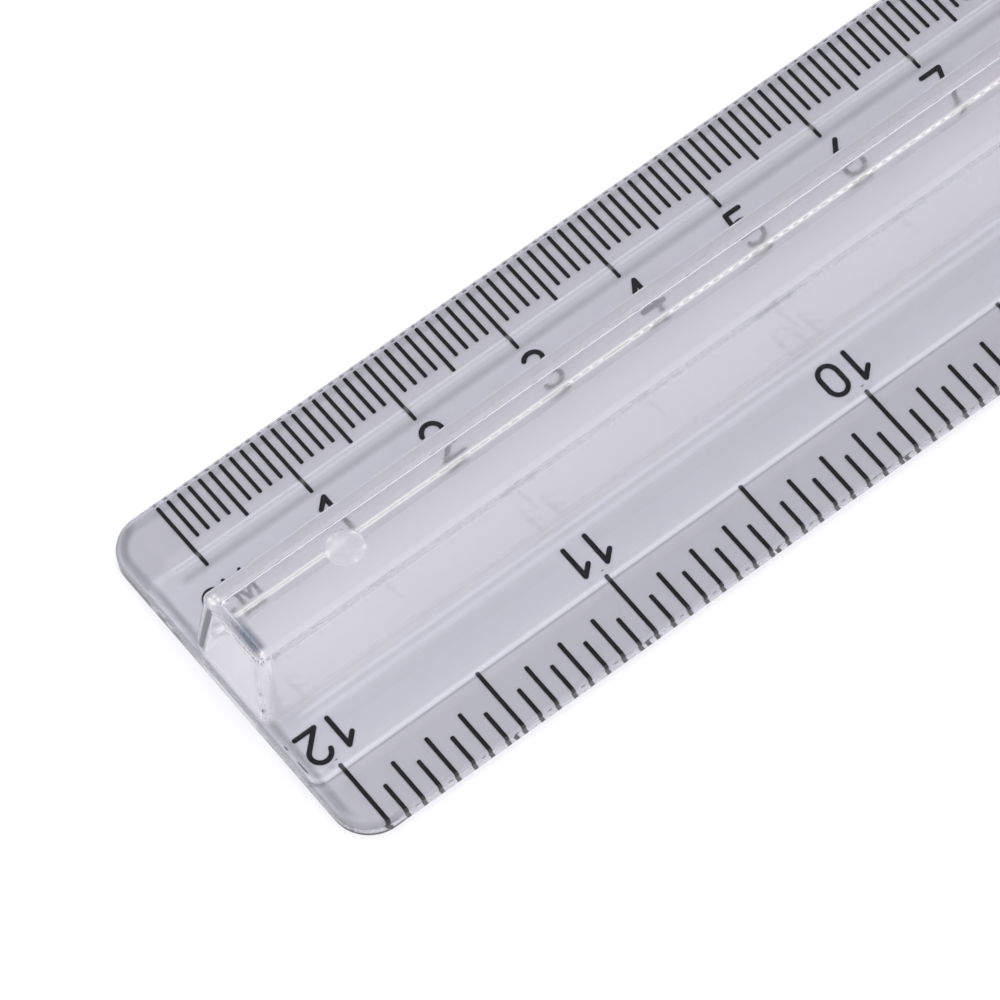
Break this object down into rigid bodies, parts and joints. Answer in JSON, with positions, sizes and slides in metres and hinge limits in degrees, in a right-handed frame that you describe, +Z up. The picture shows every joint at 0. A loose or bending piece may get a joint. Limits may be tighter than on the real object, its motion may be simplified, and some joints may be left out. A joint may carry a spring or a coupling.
{
  "type": "ruler",
  "caption": "Clear plastic ruler with a raised hollow finger-grip ridge, metric marks on one edge and inch marks on the other.",
  "frame": {"origin": "middle of the underside, on the plane the ruler rests on", "axes": "+X along the ruler from the 0 cm end to the 30 cm end, +Y to the metric edge, +Z up through the ridge"},
  "size_m": [0.3108, 0.0334, 0.0095],
  "materials": {
    "clear_plastic": "clear, polished moulding with a faint lavender tint",
    "metric_ink": "black stamped print",
    "inch_ink": "black stamped print"
  },
  "bodies": {
    "root": {"ruler_body": "clear_plastic", "metric_scale_print": "metric_ink", "inch_scale_print": "inch_ink"}
  },
  "joints": []
}
